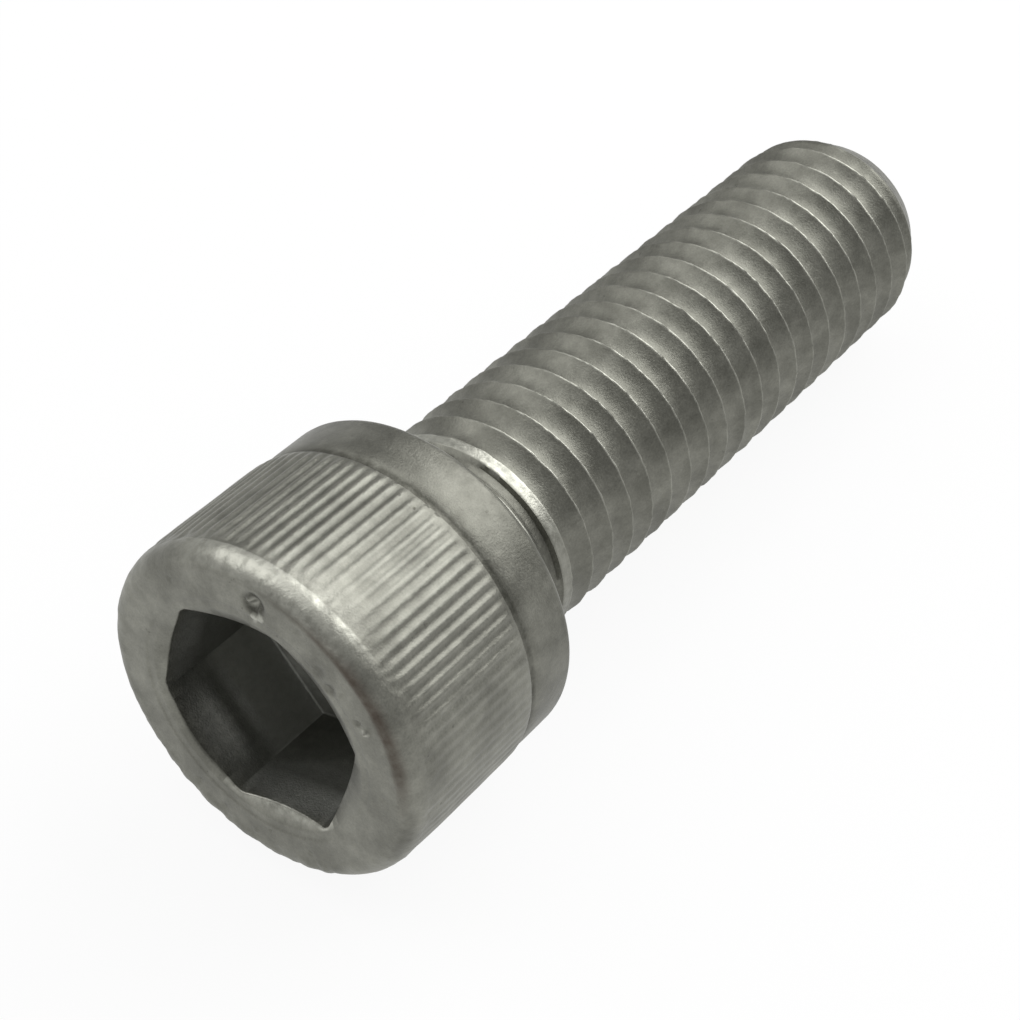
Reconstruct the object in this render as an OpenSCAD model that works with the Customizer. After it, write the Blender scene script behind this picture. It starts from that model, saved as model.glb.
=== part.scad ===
// Hexagon socket head cap screw, M12 x 40, threaded up to the head.
// The screw lies on a level surface: the rear edge of its collar and its last
// full thread crests touch the plane z = 0, the head is at -X and the tip at +X.
// The origin is on that plane, under the middle of the screw.

/* [Head] */
// Height of the head, from the bearing face to the end face
head_h = 12; // [11:0.1:13]
// Diameter over the crests of the knurl
knurl_d = 18; // [17.8:0.05:18.3]
// Depth of the knurl grooves
knurl_depth = 0.2; // [0.1:0.01:0.3]
// Number of knurl ribs around the head
knurl_count = 92; // [60:1:110]
// Radius of the broad rounded edge at the end face
edge_r = 0.9; // [0.8:0.05:1.6]
// Diameter of the smooth collar next to the bearing face
collar_d = 17.75; // [17.6:0.05:18]
// Width of the smooth collar along the axis
collar_w = 3; // [2:0.1:4]
// Rounding of the two edges of the collar
collar_r = 0.45; // [0.2:0.05:0.8]
// Width of the narrow groove between the knurl and the collar
relief_w = 0.3; // [0.2:0.05:0.6]

/* [Socket] */
// Width across the flats of the hexagon socket
socket_s = 10; // [9.5:0.1:10.2]
// Depth of the flats of the socket
socket_t = 6.4; // [5.5:0.1:7]
// Angle by which the socket is turned about the screw's axis
socket_turn = -14.5; // [-30:0.5:30]
// Diameter of the chamfer at the mouth of the socket
mouth_d = 12.1; // [11.8:0.05:12.2]
// Depth of that chamfer at the middle of a flat
mouth_t = 0.5; // [0.2:0.05:0.6]
// Included angle of the cone at the bottom of the socket
cone_a = 120; // [110:1:150]

/* [End face] */
// Outer diameter of the shallow ring turned around the socket
ring_d = 13; // [12.6:0.1:14]
// Depth of that ring
ring_t = 0.05; // [0.04:0.01:0.12]

/* [Shank] */
// Length of the screw below the head
shank_l = 40; // [30:0.5:50]
// Diameter of the short plain neck under the head
neck_d = 11.9; // [11.5:0.05:12]
// Length of the plain neck
neck_l = 1.3; // [1:0.1:2]
// Radius of the fillet between the bearing face and the neck
fillet_r = 0.6; // [0.3:0.1:0.8]

/* [Thread] */
// Nominal diameter of the thread, over its crests
thread_d = 12; // [11.8:0.05:12.1]
// Pitch of the thread
pitch = 1.75; // [1.5:0.05:2]
// Diameter at the bottom of the thread groove
root_d = 9.85; // [9.6:0.05:10.4]
// Width of the flat crest, along the axis
crest_w = 0.22; // [0.15:0.01:0.35]
// Width of the rounded bottom of the groove, along the axis
root_w = 0.5; // [0.2:0.02:0.6]
// Angle by which the thread is turned about the screw's axis
thread_turn = 73; // [0:1:359]
// Length over which the groove rises out of the shank towards the neck
runout_l = 3.4; // [1:0.1:4]

/* [Tip] */
// Diameter of the flat end of the tip
tip_d = 9.6; // [8:0.1:9.8]
// Length of the chamfer at the tip
tip_l = 2.1; // [1.5:0.1:3]

/* [Hidden] */
$fn = 96;

knurl_rad = knurl_d / 2;
valley_rad = knurl_rad - knurl_depth;
knurl_z = collar_w + relief_w;
collar_rad = collar_d / 2;
thread_rad = thread_d / 2;
root_rad = root_d / 2;
neck_rad = neck_d / 2;
tip_rad = tip_d / 2;

// The feet of the ribs are sunk into the body by this much.
rib_under = 0.12;

// The thread's skin: one column of points every few degrees, and rows that follow the helix.
cols = 32;
row_gap = 0.06;
stub_rad = neck_rad - 0.03;
stub_z = -neck_l + 0.4;
start_z = -neck_l - 0.3;
rise_l = 0.5;
root_round = 0.06;
flank_w = (pitch - crest_w - root_w) / 2;
row_down = [0, crest_w, crest_w + flank_w, crest_w + flank_w + root_w / 2, pitch - flank_w];
row_rad = [thread_rad, thread_rad, root_rad + root_round, root_rad, root_rad + root_round];
per_turn = len(row_down);
rows = per_turn * ceil(shank_l / pitch + 2);

// The axis leans, so that the collar's rear edge and the last full crests lie on one plane.
lean_l = shank_l - tip_l + collar_r;
lean_h = collar_rad - collar_r - thread_rad;
lean = atan(lean_h / lean_l) + asin(collar_r / sqrt(lean_l * lean_l + lean_h * lean_h));
rest_h = (collar_rad - collar_r) * cos(lean) - collar_r * sin(lean) + collar_r;

// The far ends of the leaning screw, along X, and the middle between them.
head_x = (head_h - edge_r) * cos(lean) + (valley_rad - edge_r) * sin(lean) + edge_r;
tip_x = shank_l * cos(lean) + tip_rad * sin(lean);
middle_x = (tip_x - head_x) / 2;

// Radius that trims the thread at height z: the neck, the full crests, then the tip's chamfer.
function trim_rad(z) =
    z > start_z - rise_l ? stub_rad + (thread_rad - stub_rad) * (start_z - z) / rise_l
    : z < tip_l - shank_l ? thread_rad - (thread_rad - tip_rad) * (tip_l - shank_l - z) / tip_l
    : thread_rad;

// How far the groove is lifted out of the shank at height z.
function lift(z) = (thread_rad - root_rad) * max(0, 1 - (start_z - z) / runout_l);

// Height and radius of the skin at row j of column i. A row climbs one pitch in a turn.
function skin_z(i, j) = start_z - row_down[j % per_turn] + pitch * (i / cols - floor(j / per_turn));
function skin_rad(i, j) = min(trim_rad(skin_z(i, j)), row_rad[j % per_turn] + lift(skin_z(i, j)));
function spot(i, r, z) = [r * cos(360 * i / cols), r * sin(360 * i / cols), z];

// The rows of each column that lie between the neck and the tip. The column at the end of
// the turn is the first column again, with its rows one pitch further down the list.
top_rows = [for (i = [0 : cols - 1])
    min([for (j = [0 : 2 * per_turn]) if (skin_z(i, j) < start_z - row_gap) j])];
end_rows = [for (i = [0 : cols - 1])
    max([for (j = [0 : rows]) if (skin_z(i, j) > row_gap - shank_l) j])];
function top_row(i) = i == cols ? top_rows[0] + per_turn : top_rows[i];
function end_row(i) = i == cols ? end_rows[0] + per_turn : end_rows[i];

// Numbers of the points: three rings of one turn each, then the skin.
function stub_at(i) = i % cols;
function start_at(i) = cols + i % cols;
function tip_at(i) = 2 * cols + i % cols;
function skin_at(i, j) = i == cols ? (j - per_turn + 3) * cols : (j + 3) * cols + i;

skin_points = concat(
    [for (i = [0 : cols - 1]) spot(i, stub_rad, stub_z)],
    [for (i = [0 : cols - 1]) spot(i, stub_rad, start_z)],
    [for (i = [0 : cols - 1]) spot(i, tip_rad, -shank_l)],
    [for (j = [0 : rows], i = [0 : cols - 1]) spot(i, skin_rad(i, j), skin_z(i, j))]);

// Closed at both ends. Where the rows of neighbouring columns begin or end at different
// numbers, a fan of triangles from the ring fills the wedge between them.
skin_faces = concat(
    [[for (i = [cols - 1 : -1 : 0]) stub_at(i)], [for (i = [0 : cols - 1]) tip_at(i)]],
    [for (i = [0 : cols - 1]) [stub_at(i), stub_at(i + 1), start_at(i + 1), start_at(i)]],
    [for (i = [0 : cols - 1]) [start_at(i), start_at(i + 1), skin_at(i, top_row(i))]],
    [for (i = [0 : cols - 1], j = [top_row(i) : 1 : top_row(i + 1) - 1])
        [start_at(i + 1), skin_at(i, j + 1), skin_at(i, j)]],
    [for (i = [0 : cols - 1])
        [start_at(i + 1), skin_at(i + 1, top_row(i + 1)), skin_at(i, top_row(i + 1))]],
    [for (i = [0 : cols - 1], j = [top_row(i + 1) : 1 : end_row(i) - 1], k = [0, 1])
        k == 0 ? [skin_at(i, j), skin_at(i + 1, j), skin_at(i, j + 1)]
               : [skin_at(i + 1, j), skin_at(i + 1, j + 1), skin_at(i, j + 1)]],
    [for (i = [0 : cols - 1]) [tip_at(i), skin_at(i, end_row(i)), skin_at(i + 1, end_row(i))]],
    [for (i = [0 : cols - 1], j = [end_row(i) : 1 : end_row(i + 1) - 1])
        [tip_at(i), skin_at(i + 1, j), skin_at(i + 1, j + 1)]],
    [for (i = [0 : cols - 1])
        [tip_at(i), skin_at(i + 1, end_row(i + 1)), tip_at(i + 1)]]);

// A turned bar along +Z with a rounded edge at its far end.
module round_bar(r, h, edge) {
    rotate_extrude() {
        square([r - edge, h]);
        square([r, h - edge]);
        translate([r - edge, h - edge]) intersection() {
            circle(r = edge);
            square(edge + 1);
        }
    }
}

// The straight ribs: blunt teeth all the way round.
module rib_bar(h) {
    step = 360 / knurl_count;
    low = valley_rad - rib_under;
    linear_extrude(height = h)
        polygon([for (i = [0 : knurl_count - 1], k = [[-0.36, low], [-0.12, knurl_rad], [0.12, knurl_rad], [0.36, low]])
            k[1] * [cos((i + k[0]) * step), sin((i + k[0]) * step)]]);
}

// The knurled length of the head. The ribs end where the rounded edge begins.
module knurl() {
    round_bar(valley_rad, head_h, edge_r);
    translate([0, 0, knurl_z]) rib_bar(head_h - knurl_z - edge_r);
}

// The smooth collar, rounded at both edges.
module collar() {
    rotate_extrude() {
        square([collar_rad - collar_r, collar_w]);
        translate([0, collar_r]) square([collar_rad, collar_w - 2 * collar_r]);
        for (z = [collar_r, collar_w - collar_r])
            translate([collar_rad - collar_r, z]) circle(r = collar_r);
    }
}

// What the punch and the turning tool take out of the end face.
module socket() {
    flat = socket_s / 2;
    cone_rad = flat - 0.2;
    floor_z = head_h - socket_t;
    rotate([0, 0, socket_turn]) translate([0, 0, floor_z])
        cylinder(r = flat / cos(30), h = socket_t + 1, $fn = 6);
    rotate_extrude() {
        polygon([[0, floor_z - cone_rad / tan(cone_a / 2)], [cone_rad, floor_z],
                 [cone_rad, floor_z + 0.5], [0, floor_z + 0.5]]);
        polygon([[0, head_h - 1.5], [flat - 0.4, head_h - 1.5], [flat - 0.4, head_h - 1.5 * mouth_t],
                 [flat, head_h - mouth_t], [mouth_d / 2, head_h], [mouth_d / 2, head_h + 1], [0, head_h + 1]]);
        polygon([[0, head_h - ring_t], [ring_d / 2, head_h - ring_t], [ring_d / 2, head_h + 1],
                 [0, head_h + 1]]);
    }
}

module head() {
    difference() {
        union() {
            collar();
            knurl();
        }
        socket();
    }
}

// The plain neck, with the fillet that carries it into the bearing face.
module neck() {
    translate([0, 0, -neck_l]) cylinder(r = neck_rad, h = neck_l + 1);
    rotate_extrude() difference() {
        translate([0, -fillet_r]) square([neck_rad + fillet_r, fillet_r + 0.5]);
        translate([neck_rad + fillet_r, -fillet_r]) circle(r = fillet_r);
    }
}

// The threaded length, down to the flat end of the tip.
module thread() {
    rotate([0, 0, thread_turn])
        polyhedron(points = skin_points, faces = skin_faces, convexity = 10);
}

// The whole screw in one piece, laid down on its side.
module screw() {
    color("silver")
        translate([-middle_x, 0, rest_h]) rotate([0, lean - 90, 0]) {
            head();
            neck();
            thread();
        }
}

screw();
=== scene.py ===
import logging
import math
from dataclasses import dataclass, field
from enum import Enum
from typing import Callable, Iterable

import bpy
from mathutils import Matrix, Vector


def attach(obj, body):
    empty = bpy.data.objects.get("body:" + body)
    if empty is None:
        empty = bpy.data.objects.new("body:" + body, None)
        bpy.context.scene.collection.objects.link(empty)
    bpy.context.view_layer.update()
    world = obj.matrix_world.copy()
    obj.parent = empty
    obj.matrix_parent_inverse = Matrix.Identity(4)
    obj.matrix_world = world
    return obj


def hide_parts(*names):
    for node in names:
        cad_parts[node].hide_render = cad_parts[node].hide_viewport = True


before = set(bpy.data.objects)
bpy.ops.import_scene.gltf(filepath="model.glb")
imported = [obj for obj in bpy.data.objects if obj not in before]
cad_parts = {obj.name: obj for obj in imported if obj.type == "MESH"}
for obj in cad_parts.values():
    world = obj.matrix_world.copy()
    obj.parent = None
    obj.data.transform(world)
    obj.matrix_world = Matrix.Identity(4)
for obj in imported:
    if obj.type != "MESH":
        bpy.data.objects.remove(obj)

LOG = logging.getLogger("cap_screw")
MM = 0.001
SNAP = 0.004
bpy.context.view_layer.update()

Pair = tuple[float, float]
Loop = Pair
Band = tuple[float, float, float, float]
Socket = bpy.types.NodeSocket


class Ground(Enum):
    """Names of the attributes that the coating reads: wear and painted highlights, dirt and painted shade,
    stains, and painted light and shade in the socket.
    """

    HIGH = "raised"
    LOW = "hollow"
    STAIN = "stained"
    BORE = "socket"


@dataclass(frozen=True)
class ScrewSizes:
    """The screw's own sizes in millimetres and degrees, upright, bearing face at height 0."""

    head_h: float = 12.0
    knurl_rad: float = 9.0
    knurl_depth: float = 0.2
    knurl_count: int = 92
    collar_rad: float = 8.875
    collar_round: float = 0.45
    relief_rad: float = 8.72
    knurl_z: float = 3.3
    edge_z: float = 10.9
    socket_s: float = 10.0
    socket_t: float = 6.4
    socket_turn: float = -14.5
    corner_round: float = 0.18
    mouth_rad: float = 6.05
    mouth_t: float = 0.5
    mouth_corners: tuple[Pair, ...] = ((6.05, -13.8), (6.12, 43.3), (5.86, 104.0), (5.86, 166.2),
                                       (6.02, 221.7), (5.66, 287.0))
    mouth_wear: tuple[Pair, ...] = ((74.0, 0.3), (135.0, 0.68))
    ring_rad: float = 6.5
    ring_t: float = 0.05
    face_rad: float = 7.95
    edge_round: float = 0.9
    shank_l: float = 40.0
    neck_rad: float = 5.95
    fillet: float = 0.6
    thread_rad: float = 6.0
    root_rad: float = 5.48
    pitch: float = 1.75
    crest_w: float = 0.06
    thread_turn: float = 46.0
    run_out: float = 2.8
    land_w: float = 0.62
    start_z: float = -1.6
    tip_rad: float = 4.8
    tip_l: float = 2.1

    @property
    def lean(self) -> float:
        """Angle in radians at which the axis leans when the screw lies on collar and thread."""
        length = self.shank_l - self.tip_l + self.collar_round
        height = self.collar_rad - self.collar_round - self.thread_rad
        return math.atan(height / length) + math.asin(self.collar_round / math.hypot(length, height))

    @property
    def laid_down(self) -> Matrix:
        """The move from the upright screw in millimetres to its place on the floor in metres."""
        edge = self.edge_round
        cos, sin = math.cos(self.lean), math.sin(self.lean)
        rest = (self.collar_rad - self.collar_round) * cos - self.collar_round * sin + self.collar_round
        valley = self.knurl_rad - self.knurl_depth
        head_x = (self.head_h - edge) * cos + (valley - edge) * sin + edge
        tip_x = self.shank_l * cos + self.tip_rad * sin
        move = Matrix.Translation((-(tip_x - head_x) / 2 * MM, 0, rest * MM))
        return move @ Matrix.Rotation(self.lean - math.pi / 2, 4, "Y") @ Matrix.Scale(MM, 4)

    @property
    def crest_z(self) -> float:
        """Height of the thread's first crest in direction 0."""
        return self.start_z - self.thread_turn / 360 * self.pitch

    def phase(self, place: Vector) -> float:
        """How far below a crest of the thread a point lies, as a share of the pitch."""
        below = self.crest_z + math.atan2(place.y, place.x) / math.tau * self.pitch - place.z
        return below / self.pitch % 1

    def land(self, height: float) -> float:
        """Width of the flat left beside the crest, where the thread's first turn is not yet full."""
        return self.land_w * (1 - smooth(self.start_z - height, 1.9, 3.6))

    def hexagon(self, angle: float, grow: float = 0.0) -> float:
        """Distance from the axis to the wall of the hexagon socket, with its rounded corners.

        Args:
            angle: direction around the axis, in radians.
            grow: how far outside the wall, in millimetres.

        Returns:
            The distance in millimetres.
        """
        flat = self.socket_s / 2 + grow
        third = math.pi / 3
        turned = (angle - math.radians(self.socket_turn)) % third - third / 2
        small = flat - self.corner_round
        if abs(math.tan(turned)) * flat <= small * math.tan(third / 2):
            return flat / math.cos(turned)
        centre = small / math.cos(third / 2)
        off = third / 2 - abs(turned)
        return centre * math.cos(off) + math.sqrt(self.corner_round**2 - (centre * math.sin(off)) ** 2)

    def worn_mouth(self, angle: float) -> float:
        """Distance from the axis to the mouth that keys have worn wider, rounded at its corners.

        Args:
            angle: direction around the axis, in radians.

        Returns:
            The distance in millimetres.
        """
        reach = [(r, math.radians(a)) for r, a in self.mouth_corners]
        reach.append((reach[0][0], reach[0][1] + math.tau))

        def straight(at: float) -> float:
            """Distance to the straight line between the two corners on either side."""
            at = (at - reach[0][1]) % math.tau + reach[0][1]
            (r1, a1), (r2, a2) = next(pair for pair in zip(reach, reach[1:]) if at <= pair[1][1] + 1e-9)
            return r1 * r2 * math.sin(a2 - a1) / (r1 * math.sin(at - a1) + r2 * math.sin(a2 - at))

        around = [straight(angle + math.radians(step)) for step in (-3, -1.5, 0, 1.5, 3)]
        bulge = 0.0
        for middle, depth in self.mouth_wear:
            off = angle - math.radians(middle)
            if math.cos(off) > 0.8:
                bulge += depth * max(0.0, math.cos(3 * off))
        return max(sum(around) / len(around) + bulge, self.hexagon(angle) + 0.005)


def deselect_all() -> None:
    """Leaves no object selected and no object in edit mode."""
    if bpy.context.object and bpy.context.object.mode != "OBJECT":
        bpy.ops.object.mode_set(mode="OBJECT")
    bpy.ops.object.select_all(action="DESELECT")


def in_object_mode(work: Callable[[bpy.types.Mesh], None]) -> None:
    """Runs work on the active object's mesh outside edit mode, then goes back into edit mode."""
    bpy.ops.object.mode_set(mode="OBJECT")
    work(bpy.context.object.data)
    bpy.ops.object.mode_set(mode="EDIT")


def pick_edges(test: Callable[[Vector, Vector], bool]) -> None:
    """Selects, in edit mode, the open edges whose two ends pass a test.

    Args:
        test: takes the places of both ends and says whether the edge is wanted.
    """
    bpy.ops.mesh.select_mode(type="EDGE")
    bpy.ops.mesh.select_all(action="DESELECT")
    bpy.ops.mesh.select_non_manifold(extend=False, use_wire=True, use_boundary=True,
                                     use_multi_face=False, use_non_contiguous=False, use_verts=False)

    def keep(mesh: bpy.types.Mesh) -> None:
        """Drops the open edges that fail the test."""
        open_edges = [e for e in mesh.edges if e.select]
        wanted = [e.index for e in open_edges
                  if test(mesh.vertices[e.vertices[0]].co, mesh.vertices[e.vertices[1]].co)]
        mesh.edges.foreach_set("select", [False] * len(mesh.edges))
        mesh.vertices.foreach_set("select", [False] * len(mesh.vertices))
        mesh.polygons.foreach_set("select", [False] * len(mesh.polygons))
        for index in wanted:
            mesh.edges[index].select = True

    in_object_mode(keep)


def step_loop(here: Loop, there: Loop) -> None:
    """Extrudes the selected round loop to its next radius and height.

    Args:
        here: radius and height of the loop now.
        there: radius and height that it goes to.
    """
    bpy.ops.mesh.extrude_edges_move(TRANSFORM_OT_translate={"value": (0, 0, there[1] - here[1])})
    scale = there[0] / here[0]
    if abs(scale - 1) > 1e-9:
        bpy.ops.transform.resize(value=(scale, scale, 1), center_override=(0, 0, 0))


def arc(centre: Loop, wide: float, high: float, start: float, end: float, steps: int) -> list[Loop]:
    """Points of a rounded edge in the turned profile.

    Args:
        centre: radius and height of the rounding's centre.
        wide: rounding across the axis.
        high: rounding along the axis.
        start: first angle in degrees, 0 is outwards and 90 up.
        end: last angle in degrees.
        steps: number of steps from first to last.

    Returns:
        Radius and height of each point.
    """
    turns = [math.radians(start + (end - start) * k / steps) for k in range(steps + 1)]
    return [(centre[0] + wide * math.cos(t), centre[1] + high * math.sin(t)) for t in turns]


def smooth(value: float, start: float, end: float) -> float:
    """A soft step from 0 at start to 1 at end."""
    share = min(1.0, max(0.0, (value - start) / (end - start)))
    return share * share * (3 - 2 * share)


def band(value: float, ends: Band) -> float:
    """A soft band.

    Args:
        value: the value to place.
        ends: where the band begins, is full, begins to fade and is gone.

    Returns:
        Its share, from 0 to 1.
    """
    return smooth(value, ends[0], ends[1]) * (1 - smooth(value, ends[2], ends[3]))


@dataclass(frozen=True)
class Spot:
    """A point of the skin by its distance from the axis, its height and its direction in degrees."""

    radius: float
    z: float
    turn: float

    @classmethod
    def at(cls, place: Vector) -> "Spot":
        """The spot at a place."""
        return cls(math.hypot(place.x, place.y), place.z, math.degrees(math.atan2(place.y, place.x)))


@dataclass
class ScrewHead:
    """The cylindrical head: collar, knurl, rounded edge, end face and hexagon socket."""

    sizes: ScrewSizes
    per_rib: int = 9
    seam_rad: float = 8.2
    rib_shape: tuple[float, ...] = (1.0, 0.88, 0.56, 0.18, 0.0)
    rib_sink: float = 0.12
    drill_gap: float = 0.2
    drill_angle: float = 60.0
    drill_point: float = 0.4
    # The directions in degrees in which the ribs are worn on the upper side and filled below.
    worn_above: Band = (-50, -32, -18, 0)
    worn_below: Band = (-150, -120, -84, -58)
    # Height of each row of the knurl, and the share of the full rib that stands there.
    rib_rows: tuple[Pair, ...] = (
        (3.34, 0.0), (3.5, 0.3), (3.72, 0.78), (4.0, 1.0), (5.0, 1.0), (6.0, 1.0), (7.0, 1.0), (8.0, 1.0),
        (9.0, 1.0), (9.5, 0.97), (9.9, 0.88), (10.2, 0.72), (10.45, 0.5), (10.65, 0.28), (10.8, 0.1),
    )

    @property
    def columns(self) -> int:
        """Number of points around the head: whole ribs, and whole sixths for the socket."""
        return self.per_rib * self.sizes.knurl_count

    def build(self) -> bpy.types.Object:
        """Makes the head, upright and in millimetres, open where the shank joins it."""
        deselect_all()
        s = self.sizes
        bpy.ops.mesh.primitive_circle_add(vertices=self.columns, radius=self.seam_rad, fill_type="NOTHING",
                                          rotation=(0, 0, math.radians(s.socket_turn)))
        bpy.ops.object.transform_apply(location=True, rotation=True, scale=True)
        head = bpy.context.object
        head.name = "screw_head"
        bpy.ops.object.mode_set(mode="EDIT")
        bpy.ops.mesh.select_all(action="SELECT")
        here = (self.seam_rad, 0.0)
        for there in self._outside() + self._end_face():
            step_loop(here, there)
            here = there
        self._socket(here)
        self._press_ribs()
        in_object_mode(self._wear_ribs)
        bpy.ops.object.mode_set(mode="OBJECT")
        return head

    def _outside(self) -> list[Loop]:
        """Radius and height of each loop from the bearing face to the rounded edge."""
        s = self.sizes
        rear = arc((s.collar_rad - s.collar_round, s.collar_round), s.collar_round, s.collar_round, -90, 0, 5)
        collar = [(s.collar_rad, 1.4), (s.collar_rad, 2.3), (s.collar_rad - 0.015, 2.58),
                  (s.collar_rad - 0.055, 2.8), (s.collar_rad - 0.115, 2.97), (s.relief_rad, 3.1),
                  (s.relief_rad, 3.22)]
        ribs = [(self._rib_rad(0.0), z) for z, _ in self.rib_rows]
        edge = arc((s.face_rad, s.edge_z), self._rib_rad(0.0) - s.face_rad, s.head_h - s.edge_z, 0, 90, 14)
        return rear + collar + ribs + edge

    def _end_face(self) -> list[Loop]:
        """Radius and height of each loop of the flat end face, with its turned ring."""
        s = self.sizes
        low = s.head_h - s.ring_t
        rings = [(s.face_rad - 0.12 * k, s.head_h) for k in range(1, 11)]
        return rings + [(s.ring_rad + 0.1, s.head_h), (s.ring_rad + 0.03, s.head_h - 0.012),
                (s.ring_rad - 0.02, low + 0.006), (s.ring_rad - 0.1, low), (6.15, low),
                (s.mouth_rad + 0.05, low), (s.mouth_rad, low - 0.01)]

    def _rib_rad(self, rise: float) -> float:
        """Radius of the knurl where a rib stands this share of its height."""
        return self.sizes.knurl_rad - (self.sizes.knurl_depth - self.rib_sink) * (1 - rise)

    def _socket(self, here: Loop) -> None:
        """Goes down into the socket: countersunk mouth, six walls, floor and drilled cone.

        Args:
            here: radius and height of the selected loop at the mouth.
        """
        s = self.sizes
        slope = s.mouth_t / (s.mouth_rad - s.socket_s / 2)
        low = s.head_h - s.ring_t
        floor = s.head_h - s.socket_t

        def cone(radius: float) -> float:
            """Height of the countersink at a distance from the axis."""
            return low - max(0.0, s.mouth_rad - radius) * slope

        walls: list[tuple[float, float, Callable[[float], float]]] = [
            (0.07, 1.0, lambda r: cone(r)), (0.025, 1.0, lambda r: cone(r) - 0.008),
            (0.004, 1.0, lambda r: cone(r) - 0.03), (0.0, 0.97, lambda r: cone(r) - 0.08),
            (0.0, 0.75, lambda r: low - 0.95), (0.0, 0.45, lambda r: low - 1.6),
        ]
        walls += [(0.0, 0.15 if deep < 3.0 else 0.0, lambda r, deep=deep: low - deep)
                  for deep in (2.0, 2.3, 2.6, 2.9, 3.2, 3.5, 3.8, 4.1, 4.4, 4.8, 5.4)]
        walls += [(0.0, 0.0, lambda r: floor + 0.12), (-0.035, 0.0, lambda r: floor + 0.035),
                  (-0.12, 0.0, lambda r: floor)]
        for grow, worn, height in walls:
            step_loop(here, here)
            self._lay_on_hexagon(grow, worn, height)
        drill = s.socket_s / 2 - self.drill_gap
        step_loop(here, here)
        self._lay_round(drill, floor - 0.02)
        depth = drill / math.tan(math.radians(self.drill_angle))
        step_loop((drill, floor - 0.02), (self.drill_point, floor - depth * (1 - self.drill_point / drill)))
        bpy.ops.mesh.edge_face_add()

    def _lay_on_hexagon(self, grow: float, worn: float, height: Callable[[float], float]) -> None:
        """Sets the selected loop on the hexagon, which no operator does with a round loop.

        Args:
            grow: how far outside the wall.
            worn: 1 on the worn mouth, 0 on the true hexagon.
            height: gives the height at a distance from the axis.
        """
        def lay(mesh: bpy.types.Mesh) -> None:
            """Moves the selected points."""
            for v in mesh.vertices:
                if v.select:
                    angle = math.atan2(v.co.y, v.co.x)
                    true = self.sizes.hexagon(angle, grow)
                    radius = true + worn * (self.sizes.worn_mouth(angle) + grow - true)
                    v.co = (radius * math.cos(angle), radius * math.sin(angle), height(radius))

        in_object_mode(lay)

    def _lay_round(self, radius: float, height: float) -> None:
        """Sets the selected loop on a circle at a height."""
        def lay(mesh: bpy.types.Mesh) -> None:
            """Moves the selected points."""
            for v in mesh.vertices:
                if v.select:
                    angle = math.atan2(v.co.y, v.co.x)
                    v.co = (radius * math.cos(angle), radius * math.sin(angle), height)

        in_object_mode(lay)

    def _press_ribs(self) -> None:
        """Pulls the lines of points that lie along the ribs out to the crests, line by line."""
        base = self._rib_rad(0.0)
        turn = math.radians(self.sizes.socket_turn)
        step = math.tau / self.columns

        def lines(mesh: bpy.types.Mesh) -> dict[tuple[int, int], list[int]]:
            """Point numbers by row of the knurl and by distance from the crest line."""
            found: dict[tuple[int, int], list[int]] = {}
            for v in mesh.vertices:
                if abs(math.hypot(v.co.x, v.co.y) - base) < SNAP:
                    for row, (z, _) in enumerate(self.rib_rows):
                        if abs(v.co.z - z) < SNAP:
                            column = round((math.atan2(v.co.y, v.co.x) - turn) / step) % self.per_rib
                            found.setdefault((row, min(column, self.per_rib - column)), []).append(v.index)
            return found

        bpy.ops.object.mode_set(mode="OBJECT")
        mesh = bpy.context.object.data
        for (row, line), points in lines(mesh).items():
            rise = self.rib_rows[row][1] * self.rib_shape[line]
            if rise <= 0:
                continue
            for flag in (mesh.vertices, mesh.edges, mesh.polygons):
                flag.foreach_set("select", [False] * len(flag))
            for index in points:
                mesh.vertices[index].select = True
            bpy.ops.object.mode_set(mode="EDIT")
            bpy.ops.mesh.select_mode(type="VERT")
            scale = self._rib_rad(rise) / base
            bpy.ops.transform.resize(value=(scale, scale, 1), center_override=(0, 0, 0))
            bpy.ops.object.mode_set(mode="OBJECT")
        bpy.ops.object.mode_set(mode="EDIT")

    def _wear_ribs(self, mesh: bpy.types.Mesh) -> None:
        """Levels the ribs on the upper side towards the rim, and below, where the coating filled them."""
        for v in mesh.vertices:
            spot = Spot.at(v.co)
            if spot.radius > self._rib_rad(0.0) - SNAP and 3.4 < spot.z < 10.85:
                level = self._rib_rad(0.6 * (1 - smooth(spot.z, 9.4, 10.8)))
                above = 0.2 + 0.2 * smooth(spot.z, 5.0, 8.5) + 0.3 * smooth(spot.z, 8.5, 10.3)
                worn = max(above * band(spot.turn, self.worn_above), 0.65 * band(spot.turn, self.worn_below))
                scale = 1 + (level / spot.radius - 1) * worn
                v.co.x *= scale
                v.co.y *= scale


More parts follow.
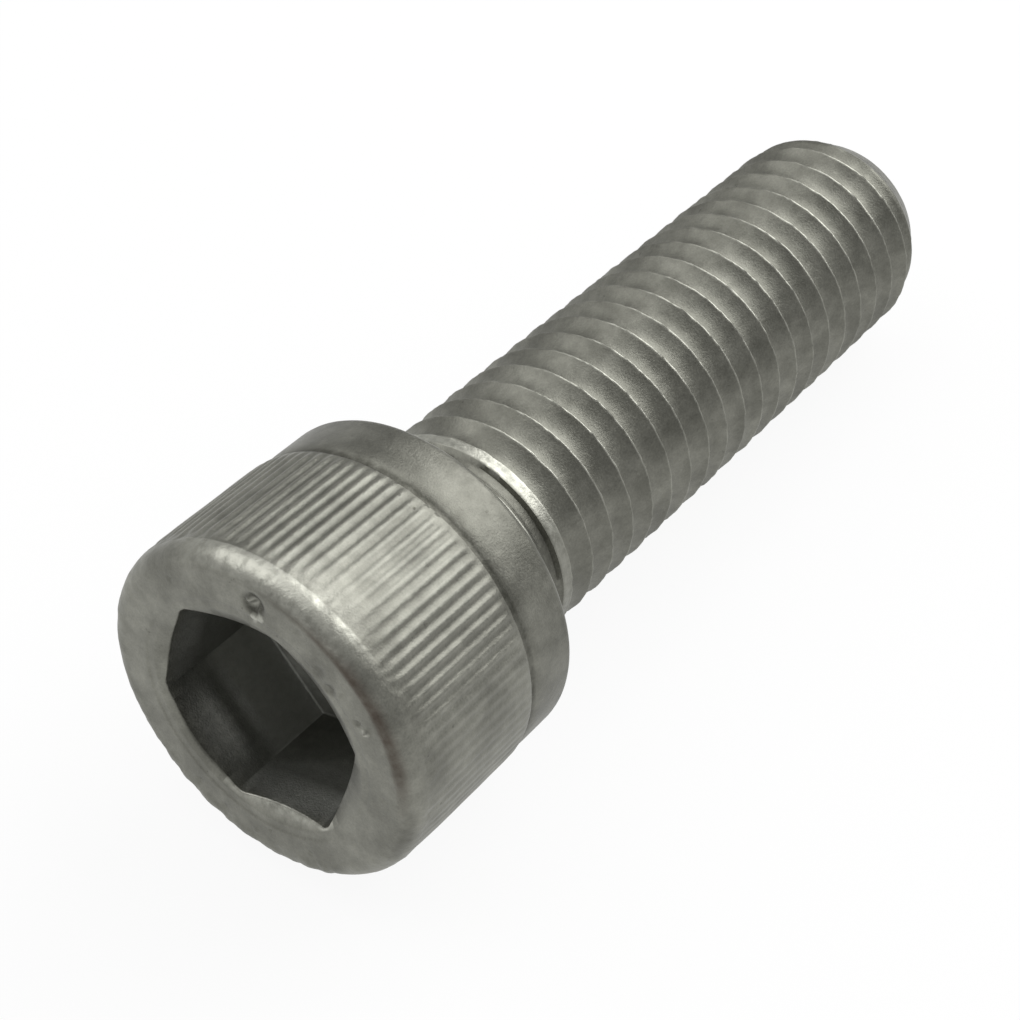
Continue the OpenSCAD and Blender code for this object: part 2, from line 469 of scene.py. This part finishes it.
@dataclass
class ThreadedShank:
    """The shank: rolled thread, its run-out, chamfered tip, neck and fillet."""

    sizes: ScrewSizes
    columns: int = 180
    hollow: float = 1.9
    seam_rad: float = 7.3

    def build(self) -> bpy.types.Object:
        """Makes the shank, upright and in millimetres, open where it joins the head."""
        deselect_all()
        s = self.sizes
        bpy.ops.mesh.primitive_plane_add(size=0.1)
        shank = bpy.context.object
        shank.name = "screw_shank"
        bpy.ops.object.mode_set(mode="EDIT")
        self._draw_profile()
        bpy.ops.object.mode_set(mode="OBJECT")
        turns = math.ceil(s.shank_l / s.pitch) + 3
        screw = shank.modifiers.new("helix", "SCREW")
        screw.axis = "Z"
        screw.angle = math.tau
        screw.screw_offset = s.pitch
        screw.iterations = turns
        screw.steps = screw.render_steps = self.columns
        screw.use_merge_vertices = False
        bpy.ops.object.modifier_apply(modifier=screw.name)
        self._lower(turns)
        bpy.ops.object.mode_set(mode="EDIT")
        bpy.ops.mesh.select_all(action="SELECT")
        bpy.ops.mesh.remove_doubles(threshold=0.002)
        bpy.ops.object.mode_set(mode="OBJECT")
        self._trim()
        bpy.ops.object.mode_set(mode="EDIT")
        self._cut_ends()
        self._neck()
        bpy.ops.object.mode_set(mode="OBJECT")
        return shank

    def profile(self) -> list[Loop]:
        """Radius and height of one pitch of the thread, from a crest down to the next."""
        s = self.sizes
        deep = s.thread_rad - s.root_rad
        crest = [(s.thread_rad - 0.015, 0.0), (s.thread_rad, -s.crest_w * 0.5),
                 (s.thread_rad - 0.01, -s.crest_w)]
        away = [(s.thread_rad - share * deep, -s.crest_w - down)
                for share, down in ((0.30, 0.09), (0.68, 0.18), (0.93, 0.27))]
        foot = s.crest_w + 0.38
        rise = [(s.root_rad + deep * share**self.hollow, -(foot + (s.pitch - foot) * share))
                for share in (0.0, 0.1, 0.2, 0.3, 0.41, 0.52, 0.63, 0.74, 0.84, 0.92, 0.97)]
        return crest + away + rise + [(s.thread_rad - 0.015, -s.pitch)]

    def _draw_profile(self) -> None:
        """Leaves the plane's first point, and extrudes one pitch of the thread from it."""
        bpy.ops.mesh.select_all(action="SELECT")
        bpy.ops.mesh.merge(type="CENTER")
        line = self.profile()
        bpy.ops.transform.translate(value=(line[0][0], 0, line[0][1]))
        for here, there in zip(line, line[1:]):
            bpy.ops.mesh.extrude_vertices_move(
                TRANSFORM_OT_translate={"value": (there[0] - here[0], 0, there[1] - here[1])})

    def _lower(self, turns: int) -> None:
        """Brings the helix to its height, so that the crests pass where the real ones do."""
        s = self.sizes
        shank = bpy.context.object
        shank.location.z = s.crest_z + (2 - turns) * s.pitch
        bpy.ops.object.transform_apply(location=True, rotation=True, scale=True)

    def _trim(self) -> None:
        """Runs the groove out towards the neck and takes the crests down to the tip's chamfer."""
        s = self.sizes
        rise = 0.5

        def limit(z: float) -> float:
            """Largest radius at a height."""
            if z > s.start_z - rise:
                share = min(1.0, max(0.0, (s.start_z - z) / rise))
                return s.neck_rad + (s.thread_rad - s.neck_rad) * share
            if z < s.tip_l - s.shank_l:
                return s.thread_rad - (s.thread_rad - s.tip_rad) * (s.tip_l - s.shank_l - z) / s.tip_l
            return s.thread_rad

        for v in bpy.context.object.data.vertices:
            radius = math.hypot(v.co.x, v.co.y)
            gone = s.start_z - v.co.z
            lift = (s.thread_rad - s.root_rad) * min(1.0, max(0.0, 1 - gone / s.run_out)) ** 1.6
            land = s.land(v.co.z)
            short = s.pitch - land - s.phase(v.co) * s.pitch
            wide = s.thread_rad - 0.02 - max(0.0, short) * 1.7 if land > 0 and gone > 0 else 0.0
            scale = min(limit(v.co.z), max(radius + lift, wide)) / radius
            v.co.x *= scale
            v.co.y *= scale

    def _cut_ends(self) -> None:
        """Cuts the helix square below the neck, and at the tip, where the cut is closed."""
        s = self.sizes
        bpy.ops.mesh.select_all(action="SELECT")
        bpy.ops.mesh.bisect(plane_co=(0, 0, -1.0), plane_no=(0, 0, 1), clear_outer=True, threshold=0.0005)
        bpy.ops.mesh.select_all(action="SELECT")
        bpy.ops.mesh.bisect(plane_co=(0, 0, -s.shank_l), plane_no=(0, 0, 1), clear_inner=True,
                            use_fill=True, threshold=0.0005)
        bpy.ops.mesh.select_mode(type="FACE")
        bpy.ops.mesh.inset(thickness=0.35, depth=0)
        bpy.ops.mesh.inset(thickness=0.5, depth=-0.06)

    def _neck(self) -> None:
        """Carries the open end up the neck, round the fillet and out over the bearing face."""
        s = self.sizes
        pick_edges(lambda a, b: a.z > -1.2 and b.z > -1.2)
        here = (s.neck_rad, -1.0)
        steps = [(s.neck_rad, -s.fillet)]
        steps += arc((s.neck_rad + s.fillet, -s.fillet), s.fillet, s.fillet, 180, 90, 5)[1:]
        for there in steps + [(self.seam_rad, 0.0)]:
            step_loop(here, there)
            here = there


@dataclass(frozen=True)
class Dent:
    """A mark on the end face, in millimetres and degrees.

    It has its distance and direction from the axis, its rise, below 0 a hollow, and its reach. Darkening
    above 0 makes it darker, and below 0 lighter.
    """

    distance: float
    angle: float
    rise: float
    reach: float
    darkening: float = 0.0

    def ring(self, place: Vector) -> float:
        """How much of the mark's tone lies at a point: in the ring of a large one, all over a small one."""
        turn = math.radians(self.angle)
        away = math.hypot(place.x - self.distance * math.cos(turn), place.y - self.distance * math.sin(turn))
        inside = smooth(away / self.reach, 0.25, 0.5) if self.reach > 0.5 else 1.0
        return inside * (1 - smooth(away / self.reach, 0.55, 1.0))


@dataclass(frozen=True)
class Uneven:
    """A noise in the form: the points it moves, the size of its lumps and their height in millimetres."""

    name: str
    group: str
    size: float
    depth: float


@dataclass
class CapScrew:
    """The whole screw: head and shank in one skin, laid down on the floor and finished."""

    sizes: ScrewSizes = field(default_factory=ScrewSizes)
    dents: tuple[Dent, ...] = (
        Dent(7.32, -1.5, -0.32, 0.78, 0.9), Dent(7.38, -0.6, 0.3, 0.36, -0.5), Dent(7.2, -3.0, 0.12, 0.24),
        Dent(6.58, -1.8, 0.05, 0.26, -1.3), Dent(6.72, -4.6, 0.04, 0.26, -1.2),
        Dent(6.68, -34.0, -0.1, 0.46, 0.35), Dent(6.5, -42.0, -0.12, 0.46, 0.45), Dent(6.85, -46.0, 0.1, 0.3),
        Dent(7.19, -61.0, 0.2, 0.24, -1.2), Dent(6.95, -57.0, -0.1, 0.24, 0.5),
        Dent(6.87, -174.6, -0.08, 0.16), Dent(7.4, 150.0, -0.1, 0.35), Dent(7.5, 163.0, -0.1, 0.4),
        Dent(7.1, 26.0, -0.05, 0.2), Dent(7.6, 38.0, -0.07, 0.22), Dent(7.3, 205.0, -0.06, 0.25),
        Dent(7.5, 178.0, 0.06, 0.2), Dent(7.4, -90.0, -0.05, 0.25), Dent(7.7, -20.0, -0.06, 0.3),
    )
    uneven: tuple[Uneven, ...] = (
        Uneven("swell", "rolled", 2.2, 0.03), Uneven("grit", "rolled", 0.45, 0.035),
        Uneven("waves", "plain", 1.6, 0.012), Uneven("burr", "crest", 0.55, 0.1),
        Uneven("chips", "rim", 0.9, 0.2),
    )
    # Wear, dirt, stains, and painted highlights on the rim and knurl of the head: directions in degrees, and
    # for a ring distances from the axis.
    rim_wear_and_highlight: Band = (-50, -14, 4, 40)
    knurl_wear_and_highlight: Band = (-40, -18, -4, 12)
    smudged_rim: Band = (-124, -112, -98, -88)
    smudged_ring: Band = (8.2, 8.5, 8.7, 8.85)
    stained_rim: Band = (-98, -70, -40, 0)
    stained_ring: Band = (7.87, 8.15, 8.35, 8.75)

    def build(self) -> bpy.types.Object:
        """Makes the head and the shank, welds them into one closed skin and lays it down."""
        head = ScrewHead(self.sizes)
        shank = ThreadedShank(self.sizes)
        first, second = head.build(), shank.build()
        LOG.info("head: %d faces, shank: %d faces", len(first.data.polygons), len(second.data.polygons))
        deselect_all()
        first.select_set(True)
        second.select_set(True)
        bpy.context.view_layer.objects.active = first
        bpy.ops.object.join()
        first.name = first.data.name = "socket_cap_screw"
        bpy.ops.object.mode_set(mode="EDIT")
        pick_edges(lambda a, b: abs(a.z) < 0.01 and abs(b.z) < 0.01)
        bpy.ops.mesh.bridge_edge_loops()
        bpy.ops.mesh.select_all(action="SELECT")
        bpy.ops.mesh.normals_make_consistent(inside=False)
        bpy.ops.object.mode_set(mode="OBJECT")
        self._mark_ground(first.data)
        self._strike()
        self._unsettle(first)
        first.matrix_world = self.sizes.laid_down
        bpy.ops.object.transform_apply(location=True, rotation=True, scale=True)
        bpy.ops.object.shade_smooth_by_angle(angle=math.radians(48))
        return first

    def _mark_ground(self, mesh: bpy.types.Mesh) -> None:
        """Writes each point's share of wear and painted highlight, of dirt and painted shade, of stain, and
        of painted light and shade in the socket, for the coating's colour.
        """
        columns: dict[Ground, list[float]] = {kind: [] for kind in Ground}
        for v in mesh.vertices:
            marks = self._ground(v.co, Spot.at(v.co))
            for kind, column in columns.items():
                column.append(marks[kind])
        for kind, column in columns.items():
            mesh.attributes.new(kind.value, "FLOAT", "POINT").data.foreach_set("value", column)

    def _ground(self, place: Vector, spot: Spot) -> dict[Ground, float]:
        """The four kinds of ground at a point.

        Args:
            place: the point.
            spot: the same point around the axis.

        Returns:
            The share of each kind.
        """
        s = self.sizes
        up = down = bore = 0.0
        if spot.z < s.start_z - 0.02 and spot.radius > s.tip_rad + 0.02:
            up, down = self._thread_ground(place, spot)
        # Painted shade on the neck and fillet under the head; the tip's flat end gets the same darkening.
        elif spot.z < -0.1:
            down = 0.5
        elif spot.radius > s.relief_rad - 0.1 and s.knurl_z < spot.z < s.edge_z + 0.08:
            up, down = self._knurl_ground(spot)
        # Painted shade in the relief groove between collar and knurl.
        elif spot.radius > s.relief_rad - 0.1 and 2.9 < spot.z <= s.knurl_z:
            down = 0.8
        elif spot.radius > s.relief_rad and 0.3 < spot.z < 2.9:
            down = 0.22 + 0.2 * (1 - smooth(spot.z, 0.4, 1.0))
        # Painted light and shade in the socket; the pale grey fades out near the mouth.
        elif spot.radius < s.mouth_rad and spot.z < s.head_h - 0.3:
            down, bore = self._socket_shading(spot.turn, spot.z)
            bore *= smooth(s.head_h - spot.z, 0.3, 0.75)
        # Rim: a little wear all round and a painted highlight in the directions where light falls on it, and
        # a smudge of dirt.
        if spot.z > s.head_h - 1.2 and spot.radius > s.face_rad + 0.2:
            wear_and_highlight = 0.1 + 1.5 * band(spot.turn, self.rim_wear_and_highlight)
            up = max(up, wear_and_highlight * smooth(spot.radius, s.face_rad + 0.2, s.face_rad + 0.6))
            down = max(down, 0.5 * band(spot.turn, self.smudged_rim) * band(spot.radius, self.smudged_ring))
        # Painted highlight: a glint along the lower lip of the mouth.
        if self._on_lip_glint(spot):
            up = 1.3
        if spot.z > s.head_h - 0.6 and s.mouth_rad < spot.radius < s.face_rad:
            dent_tone = [dent.darkening * dent.ring(place) for dent in self.dents]
            down, up = max(down, max(dent_tone)), max(up, -min(dent_tone))
        stain = 0.0
        if spot.z > s.head_h - 0.35 and spot.radius > s.face_rad - 0.5:
            stain = 0.85 * band(spot.turn, self.stained_rim) * band(spot.radius, self.stained_ring)
        return {Ground.HIGH: up, Ground.LOW: down, Ground.STAIN: stain, Ground.BORE: bore}

    def _thread_ground(self, place: Vector, spot: Spot) -> Pair:
        """How much worn colour and painted highlight, and how much painted shade, a point of the thread gets.

        Args:
            place: the point.
            spot: the same point around the axis.

        Returns:
            The two shares.
        """
        s = self.sizes
        below = s.phase(place) * s.pitch
        flat = s.land(spot.z)
        up = down = 0.0
        if spot.radius > s.thread_rad - 0.06:
            # Crests: a painted highlight strongest between -36 and -12 degrees, small elsewhere, fading
            # towards the tip.
            if below < s.crest_w * 1.05:
                up = 0.1 + (0.15 + 1.35 * smooth(spot.turn, -72, -36)) * (1 - smooth(spot.turn, -12, 15))
                up *= 1 - smooth(-spot.z, 36.5, 38.0)
            # First land: a painted highlight, strong from -35 degrees on.
            if flat > 0.1 and below > s.pitch - flat:
                up = 0.35 + 0.95 * smooth(spot.turn, -75, -35)
        # Painted shade in a thin line just behind each crest, and a lighter painted shade over the rest of
        # the groove in directions below 40 degrees.
        if below > s.crest_w * 1.05:
            unshaded = 1 - 0.28 * (1 - smooth(spot.turn, 0, 40))
            down = 1 - unshaded * smooth(below, s.crest_w + 0.1, s.crest_w + 0.3)
        # Painted shade in the neck's groove beside the first turn, and darker towards the tip end.
        neck = 0.9 * smooth(spot.z, -4.6, -3.3) * (1 - smooth(spot.radius, 5.6, 5.93))
        return up, max(down, neck, 0.4 * smooth(-spot.z, 38.0, 39.0))

    def _knurl_ground(self, spot: Spot) -> Pair:
        """How much worn colour and painted highlight, and how much painted shade, a point of the knurl gets.
        """
        crest = self.sizes.knurl_rad
        # Crests a little lighter from wear; a painted highlight near the rim on the lit side.
        up = 0.25 * smooth(spot.radius, crest - 0.06, crest)
        up += 0.5 * band(spot.turn, self.knurl_wear_and_highlight) * smooth(spot.z, 8.6, 10.8)
        # Painted shade in the valleys, except in directions below -70 degrees.
        down = 0.2 * (1 - smooth(spot.radius, crest - 0.09, crest - 0.05)) * smooth(spot.turn, -70, -45)
        return up, down

    def _on_lip_glint(self, spot: Spot) -> bool:
        """Whether a point lies on the lip of the mouth on its lower side, where a glint is painted as a
        highlight.
        """
        if spot.z <= self.sizes.head_h - 0.5 or -132 <= spot.turn <= 158:
            return False
        return 0.002 < spot.radius - self.sizes.worn_mouth(math.radians(spot.turn)) < 0.09

    def _socket_shading(self, turn: float, z: float) -> Pair:
        """How dark and how pale the floor and the six walls of the socket are painted, as painted light and
        shade.

        Args:
            turn: direction around the axis, in degrees.
            z: height.

        Returns:
            The share of the dark colour, painted shade, and the share of the pale grey laid over it, painted
            light.
        """
        around = (turn - self.sizes.socket_turn) % 360 / 60
        wall, share = int(around), around % 1
        # The floor: painted shade with a little pale grey.
        if z < self.sizes.head_h - self.sizes.socket_t + 0.1:
            return 0.7, 0.35
        if wall == 3:
            # On the lowest wall the pale grey, painted light, is thicker above a slanted edge, with painted
            # shadow below it.
            edge = 9.6 - 2.8 * share
            return 0.6, 0.36 + 0.31 * smooth(z, edge - 0.25, edge + 0.25)
        if wall == 1:
            return 0.3, 0.5
        # On the remaining walls painted shade deepens and the pale grey thins towards the mouth, where the
        # lamps' light falls.
        return 0.4 + 0.4 * smooth(z, 8.3, 9.3), 1.08 - 0.74 * smooth(z, 8.2, 9.8)

    def _strike(self) -> None:
        """Presses the dents of use into the active screw, each pulled at its middle with a soft falloff."""
        bpy.ops.object.mode_set(mode="EDIT")
        bpy.ops.mesh.select_mode(type="VERT")
        for dent in self.dents:
            turn = math.radians(dent.angle)
            target = Vector((dent.distance * math.cos(turn), dent.distance * math.sin(turn),
                             self.sizes.head_h))

            def nearest(mesh: bpy.types.Mesh) -> None:
                """Selects the point of the end face that lies nearest."""
                for flag in (mesh.vertices, mesh.edges, mesh.polygons):
                    flag.foreach_set("select", [False] * len(flag))
                min(mesh.vertices, key=lambda v: (v.co - target).length).select = True

            in_object_mode(nearest)
            bpy.ops.transform.translate(value=(0, 0, dent.rise), use_proportional_edit=True,
                                        proportional_edit_falloff="SMOOTH", proportional_size=dent.reach)
        bpy.ops.object.mode_set(mode="OBJECT")

    def _unsettle(self, screw: bpy.types.Object) -> None:
        """Gives the rolled and knurled surfaces the small unevenness that the coating leaves."""
        s = self.sizes
        groups = {name: screw.vertex_groups.new(name=name) for name in ("rolled", "plain", "crest", "rim")}
        members: dict[tuple[str, float], list[int]] = {}
        for v in screw.data.vertices:
            spot = Spot.at(v.co)
            if spot.z < s.start_z:
                members.setdefault(("rolled", 0.5), []).append(v.index)
                if s.phase(v.co) * s.pitch < s.crest_w * 1.3:
                    members.setdefault(("crest", 1.0), []).append(v.index)
            elif spot.radius > s.relief_rad and s.knurl_z < spot.z < s.edge_z + 0.1:
                members.setdefault(("rolled", 1.0), []).append(v.index)
                if spot.z > 10.3 and spot.radius > s.knurl_rad - s.knurl_depth + 0.02:
                    members.setdefault(("rim", 0.8), []).append(v.index)
            else:
                members.setdefault(("plain", 1.0), []).append(v.index)
                if spot.z > s.edge_z and spot.radius > s.face_rad - 0.2:
                    worn = 1.0 if spot.turn > 120 or spot.turn < -150 else 0.35
                    members.setdefault(("rim", worn), []).append(v.index)
        for (name, weight), points in members.items():
            groups[name].add(points, weight, "REPLACE")
        for unevenness in self.uneven:
            pattern = bpy.data.textures.new(unevenness.name, "CLOUDS")
            pattern.noise_scale = unevenness.size
            pattern.noise_depth = 2
            modifier = screw.modifiers.new(unevenness.name, "DISPLACE")
            modifier.texture = pattern
            modifier.texture_coords = "LOCAL"
            modifier.vertex_group = unevenness.group
            modifier.strength = unevenness.depth
            modifier.mid_level = 0.5
            bpy.ops.object.modifier_apply(modifier=modifier.name)

    def dress(self, screw: bpy.types.Object, finish: "ZincFlake") -> None:
        """Gives the screw its coating and hands it over to the frame.

        Args:
            screw: the finished piece.
            finish: its coating.
        """
        screw.data.materials.clear()
        screw.data.materials.append(finish.make())
        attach(screw, "root")
        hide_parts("screw")


def linear(hex_colour: str) -> tuple[float, float, float, float]:
    """Turns an sRGB hex colour into the linear colour that a shader takes."""
    parts = [int(hex_colour[k:k + 2], 16) / 255 for k in (1, 3, 5)]
    return (*(c / 12.92 if c <= 0.04045 else ((c + 0.055) / 1.055) ** 2.4 for c in parts), 1.0)


def node(tree: bpy.types.NodeTree, kind: str, inputs: dict | None = None, **settings) -> bpy.types.Node:
    """Adds a node with its settings and links.

    Args:
        tree: the material's node tree.
        kind: Blender's name of the node.
        inputs: value or output socket for each input, by name or number.
        settings: the node's own settings.

    Returns:
        The new node.
    """
    made = tree.nodes.new(kind)
    for name, value in settings.items():
        setattr(made, name, value)
    for name, value in (inputs or {}).items():
        socket = made.inputs[name]
        if isinstance(value, bpy.types.NodeSocket):
            tree.links.new(value, socket)
        else:
            socket.default_value = value
    return made


def blank(name: str) -> bpy.types.Material:
    """A new material with an empty node tree."""
    made = bpy.data.materials.new(name)
    made.use_nodes = True
    made.node_tree.nodes.clear()
    return made


@dataclass(frozen=True)
class ZincFlake:
    """Zinc flake coating, dipped, spun off and baked: dull silver-grey, finely grained and mottled, with
    painted highlights and painted shade in its colour.
    """

    light: str = "#8b8b82"
    dark: str = "#74746c"
    # The dark colour serves as dirt and as painted shade, the pale grey as painted light and shade in the
    # socket, and the worn colour as wear and as painted highlight.
    dirt_and_shade: str = "#33322b"
    bore: str = "#b3b4af"
    stain: str = "#453a32"
    worn: str = "#b6b6ac"
    metallic: float = 0.92
    roughness: float = 0.43
    polish: float = 0.07

    def make(self) -> bpy.types.Material:
        """Builds the material."""
        made = blank("zinc_flake_coating")
        tree = made.node_tree
        place = node(tree, "ShaderNodeTexCoord").outputs["Object"]

        def noise(size_mm: float, detail: float, low: float, high: float, to: Pair = (0.0, 1.0)) -> Socket:
            """A noise with lumps of a size, spread from low to high."""
            lumps = node(tree, "ShaderNodeTexNoise", {
                "Vector": place, "Scale": 1 / (size_mm * MM), "Detail": detail, "Roughness": 0.62})
            spread = node(tree, "ShaderNodeMapRange", {
                "Value": lumps.outputs["Fac"], "From Min": low, "From Max": high,
                "To Min": to[0], "To Max": to[1]})
            return spread.outputs["Result"]

        def times(first: Socket, second: Socket | float) -> Socket:
            """The product of two values."""
            return node(tree, "ShaderNodeMath", {0: first, 1: second}, operation="MULTIPLY").outputs[0]

        def mark(kind: Ground, share: float) -> Socket:
            """An attribute of the ground, scaled."""
            return times(node(tree, "ShaderNodeAttribute", attribute_name=kind.value).outputs["Fac"], share)

        def over(ground: Socket | tuple, paint: str, cover: Socket) -> Socket:
            """A colour laid over another."""
            return node(tree, "ShaderNodeMix", {"Factor": cover, 6: ground, 7: linear(paint)},
                        data_type="RGBA").outputs[2]

        # Clouds 2 mm and 0.7 mm across, where the coating ran thicker or thinner.
        base = over(linear(self.dark), self.light, noise(2.1, 4.0, 0.36, 0.66))
        blotch = noise(0.7, 4.0, 0.3, 0.7, (0.92, 1.08))
        # The flakes' grain is some 0.02 mm, drawn at about 0.1 mm so that it shows.
        grain = noise(0.11, 3.0, 0.28, 0.72)
        speckle = node(tree, "ShaderNodeMapRange", {"Value": grain, "To Min": 0.84, "To Max": 1.16})
        grained = node(tree, "ShaderNodeVectorMath", {0: base, 1: times(blotch, speckle.outputs["Result"])},
                       operation="MULTIPLY")
        # Darker in scattered specks of dirt, and in the hollows, grooves, neck and socket, as painted shade
        # with some dirt.
        patches = noise(0.5, 4.0, 0.3, 0.6, (0.45, 1.0))
        darkening = node(tree, "ShaderNodeMath", {0: times(mark(Ground.LOW, 0.8), patches),
                                              1: noise(0.6, 5.0, 0.67, 0.77)}, operation="MAXIMUM")
        darkened = over(grained.outputs[0], self.dirt_and_shade, darkening.outputs[0])
        # Pale grey over the socket's walls and floor: painted light and shade.
        socket_light_share = times(mark(Ground.BORE, 0.9), noise(0.35, 3.0, 0.2, 0.6, (0.75, 1.0)))
        brown = times(mark(Ground.STAIN, 1.0), noise(0.8, 4.0, 0.25, 0.6, (0.5, 1.0)))
        browned = over(over(darkened, self.bore, socket_light_share), self.stain, brown)
        # The worn colour is wear on crests and edges and painted highlights on the rim, knurl, mouth lip and
        # thread; it is also less rough there.
        wear_and_highlight = times(mark(Ground.HIGH, 0.85), noise(0.45, 4.0, 0.36, 0.62, (0.42, 1.0)))
        coloured = over(browned, self.worn, wear_and_highlight)
        dull = node(tree, "ShaderNodeMapRange", {"Value": grain, "To Min": self.roughness - 0.05,
                                                 "To Max": self.roughness + 0.08})
        rough = node(tree, "ShaderNodeMath", {0: wear_and_highlight, 1: -self.polish, 2: dull.outputs["Result"]},
                     operation="MULTIPLY_ADD")
        pits = node(tree, "ShaderNodeBump", {"Height": noise(0.28, 3.0, 0.0, 1.0), "Strength": 0.25,
                                             "Distance": 0.03 * MM})
        bump = node(tree, "ShaderNodeBump", {"Height": grain, "Strength": 0.4, "Distance": 0.02 * MM,
                                             "Normal": pits.outputs["Normal"]})
        shader = node(tree, "ShaderNodeBsdfPrincipled", {
            "Base Color": coloured, "Metallic": self.metallic,
            "Roughness": rough.outputs[0], "Normal": bump.outputs["Normal"]})
        node(tree, "ShaderNodeOutputMaterial", {"Surface": shader.outputs["BSDF"]})
        return made


@dataclass(frozen=True)
class PalePaper:
    """A matt white paper sweep, lit through from below, so that only a faint shadow is left on it."""

    paper: str = "#f0f0f0"
    glow: float = 0.92
    mirrored: float = 0.84

    def make(self) -> bpy.types.Material:
        """Builds the material."""
        made = blank("white_paper_sweep")
        tree = made.node_tree
        matt = node(tree, "ShaderNodeBsdfDiffuse", {"Color": linear(self.paper)})
        light = node(tree, "ShaderNodeEmission", {"Color": (1, 1, 1, 1), "Strength": 1.0})
        ray = node(tree, "ShaderNodeLightPath")
        glossy = node(tree, "ShaderNodeMath", {0: ray.outputs["Is Glossy Ray"], 1: self.mirrored},
                      operation="MULTIPLY")
        seen = node(tree, "ShaderNodeMath", {0: ray.outputs["Is Camera Ray"], 1: glossy.outputs[0]},
                    operation="MAXIMUM")
        through = node(tree, "ShaderNodeMath", {0: seen.outputs[0], 1: ray.outputs["Is Transmission Ray"]},
                       operation="MAXIMUM")
        share = node(tree, "ShaderNodeMath", {0: through.outputs[0], 1: self.glow}, operation="MULTIPLY")
        mixed = node(tree, "ShaderNodeMixShader", {
            0: share.outputs[0], 1: matt.outputs[0], 2: light.outputs[0]})
        node(tree, "ShaderNodeOutputMaterial", {"Surface": mixed.outputs[0]})
        return made


class Lamp(Enum):
    """The soft lamps: heading and height in degrees, distance and side in metres, power in watts."""

    KEY = (-18.0, 46.0, 0.45, 0.46, 1.92)
    TOP = (104.0, 58.0, 0.50, 0.42, 0.85)


@dataclass
class Studio:
    """Floor, lamps and world."""

    floor_size: float = 3.0
    world_strength: float = 0.4

    def build(self) -> None:
        """Makes the floor, the lamps and the world."""
        deselect_all()
        bpy.ops.mesh.primitive_plane_add(size=self.floor_size)
        floor = bpy.context.object
        floor.name = "paper_floor"
        floor.data.materials.append(PalePaper().make())
        for lamp in Lamp:
            self._hang(lamp)
        world = bpy.data.worlds.new("studio_world")
        world.use_nodes = True
        world.node_tree.nodes["Background"].inputs["Color"].default_value = (1, 1, 1, 1)
        world.node_tree.nodes["Background"].inputs["Strength"].default_value = self.world_strength
        bpy.context.scene.world = world

    def _hang(self, lamp: Lamp) -> None:
        """Hangs a square soft lamp that looks at the screw."""
        heading, height, distance, size, power = lamp.value
        name = f"{lamp.name.lower()}_lamp"
        data = bpy.data.lights.new(name, "AREA")
        data.size = size
        data.energy = power
        made = bpy.data.objects.new(name, data)
        flat = math.cos(math.radians(height))
        made.location = distance * Vector((flat * math.cos(math.radians(heading)),
                                           flat * math.sin(math.radians(heading)),
                                           math.sin(math.radians(height))))
        made.rotation_euler = made.location.to_track_quat("Z", "Y").to_euler()
        bpy.context.scene.collection.objects.link(made)


@dataclass
class PhotoCamera:
    """The camera at the photograph's place, in millimetres and degrees."""

    place: tuple[float, float, float] = (-70.335, -46.781, 85.843)
    heading: float = 36.308
    pitch: float = -44.670
    lens: float = 78.4

    def build(self) -> None:
        """Makes the camera and gives it to the scene."""
        data = bpy.data.cameras.new("photo_camera")
        data.lens = self.lens
        data.sensor_width = 36.0
        data.clip_start = 0.005
        data.clip_end = 20.0
        camera = bpy.data.objects.new("photo_camera", data)
        camera.location = Vector(self.place) * MM
        camera.rotation_euler = (math.radians(90 + self.pitch), 0, math.radians(self.heading - 90))
        bpy.context.scene.collection.objects.link(camera)
        bpy.context.scene.camera = camera


def main() -> None:
    """Builds the camera, the screw and the studio in order."""
    logging.basicConfig(level=logging.INFO, format="%(name)s: %(message)s")
    bpy.context.scene.view_settings.view_transform = "Standard"
    PhotoCamera().build()
    screw = CapScrew()
    piece = screw.build()
    screw.dress(piece, ZincFlake())
    LOG.info("%s: %d points, %d faces", piece.name, len(piece.data.vertices), len(piece.data.polygons))
    Studio().build()


if __name__ == "__main__":
    main()
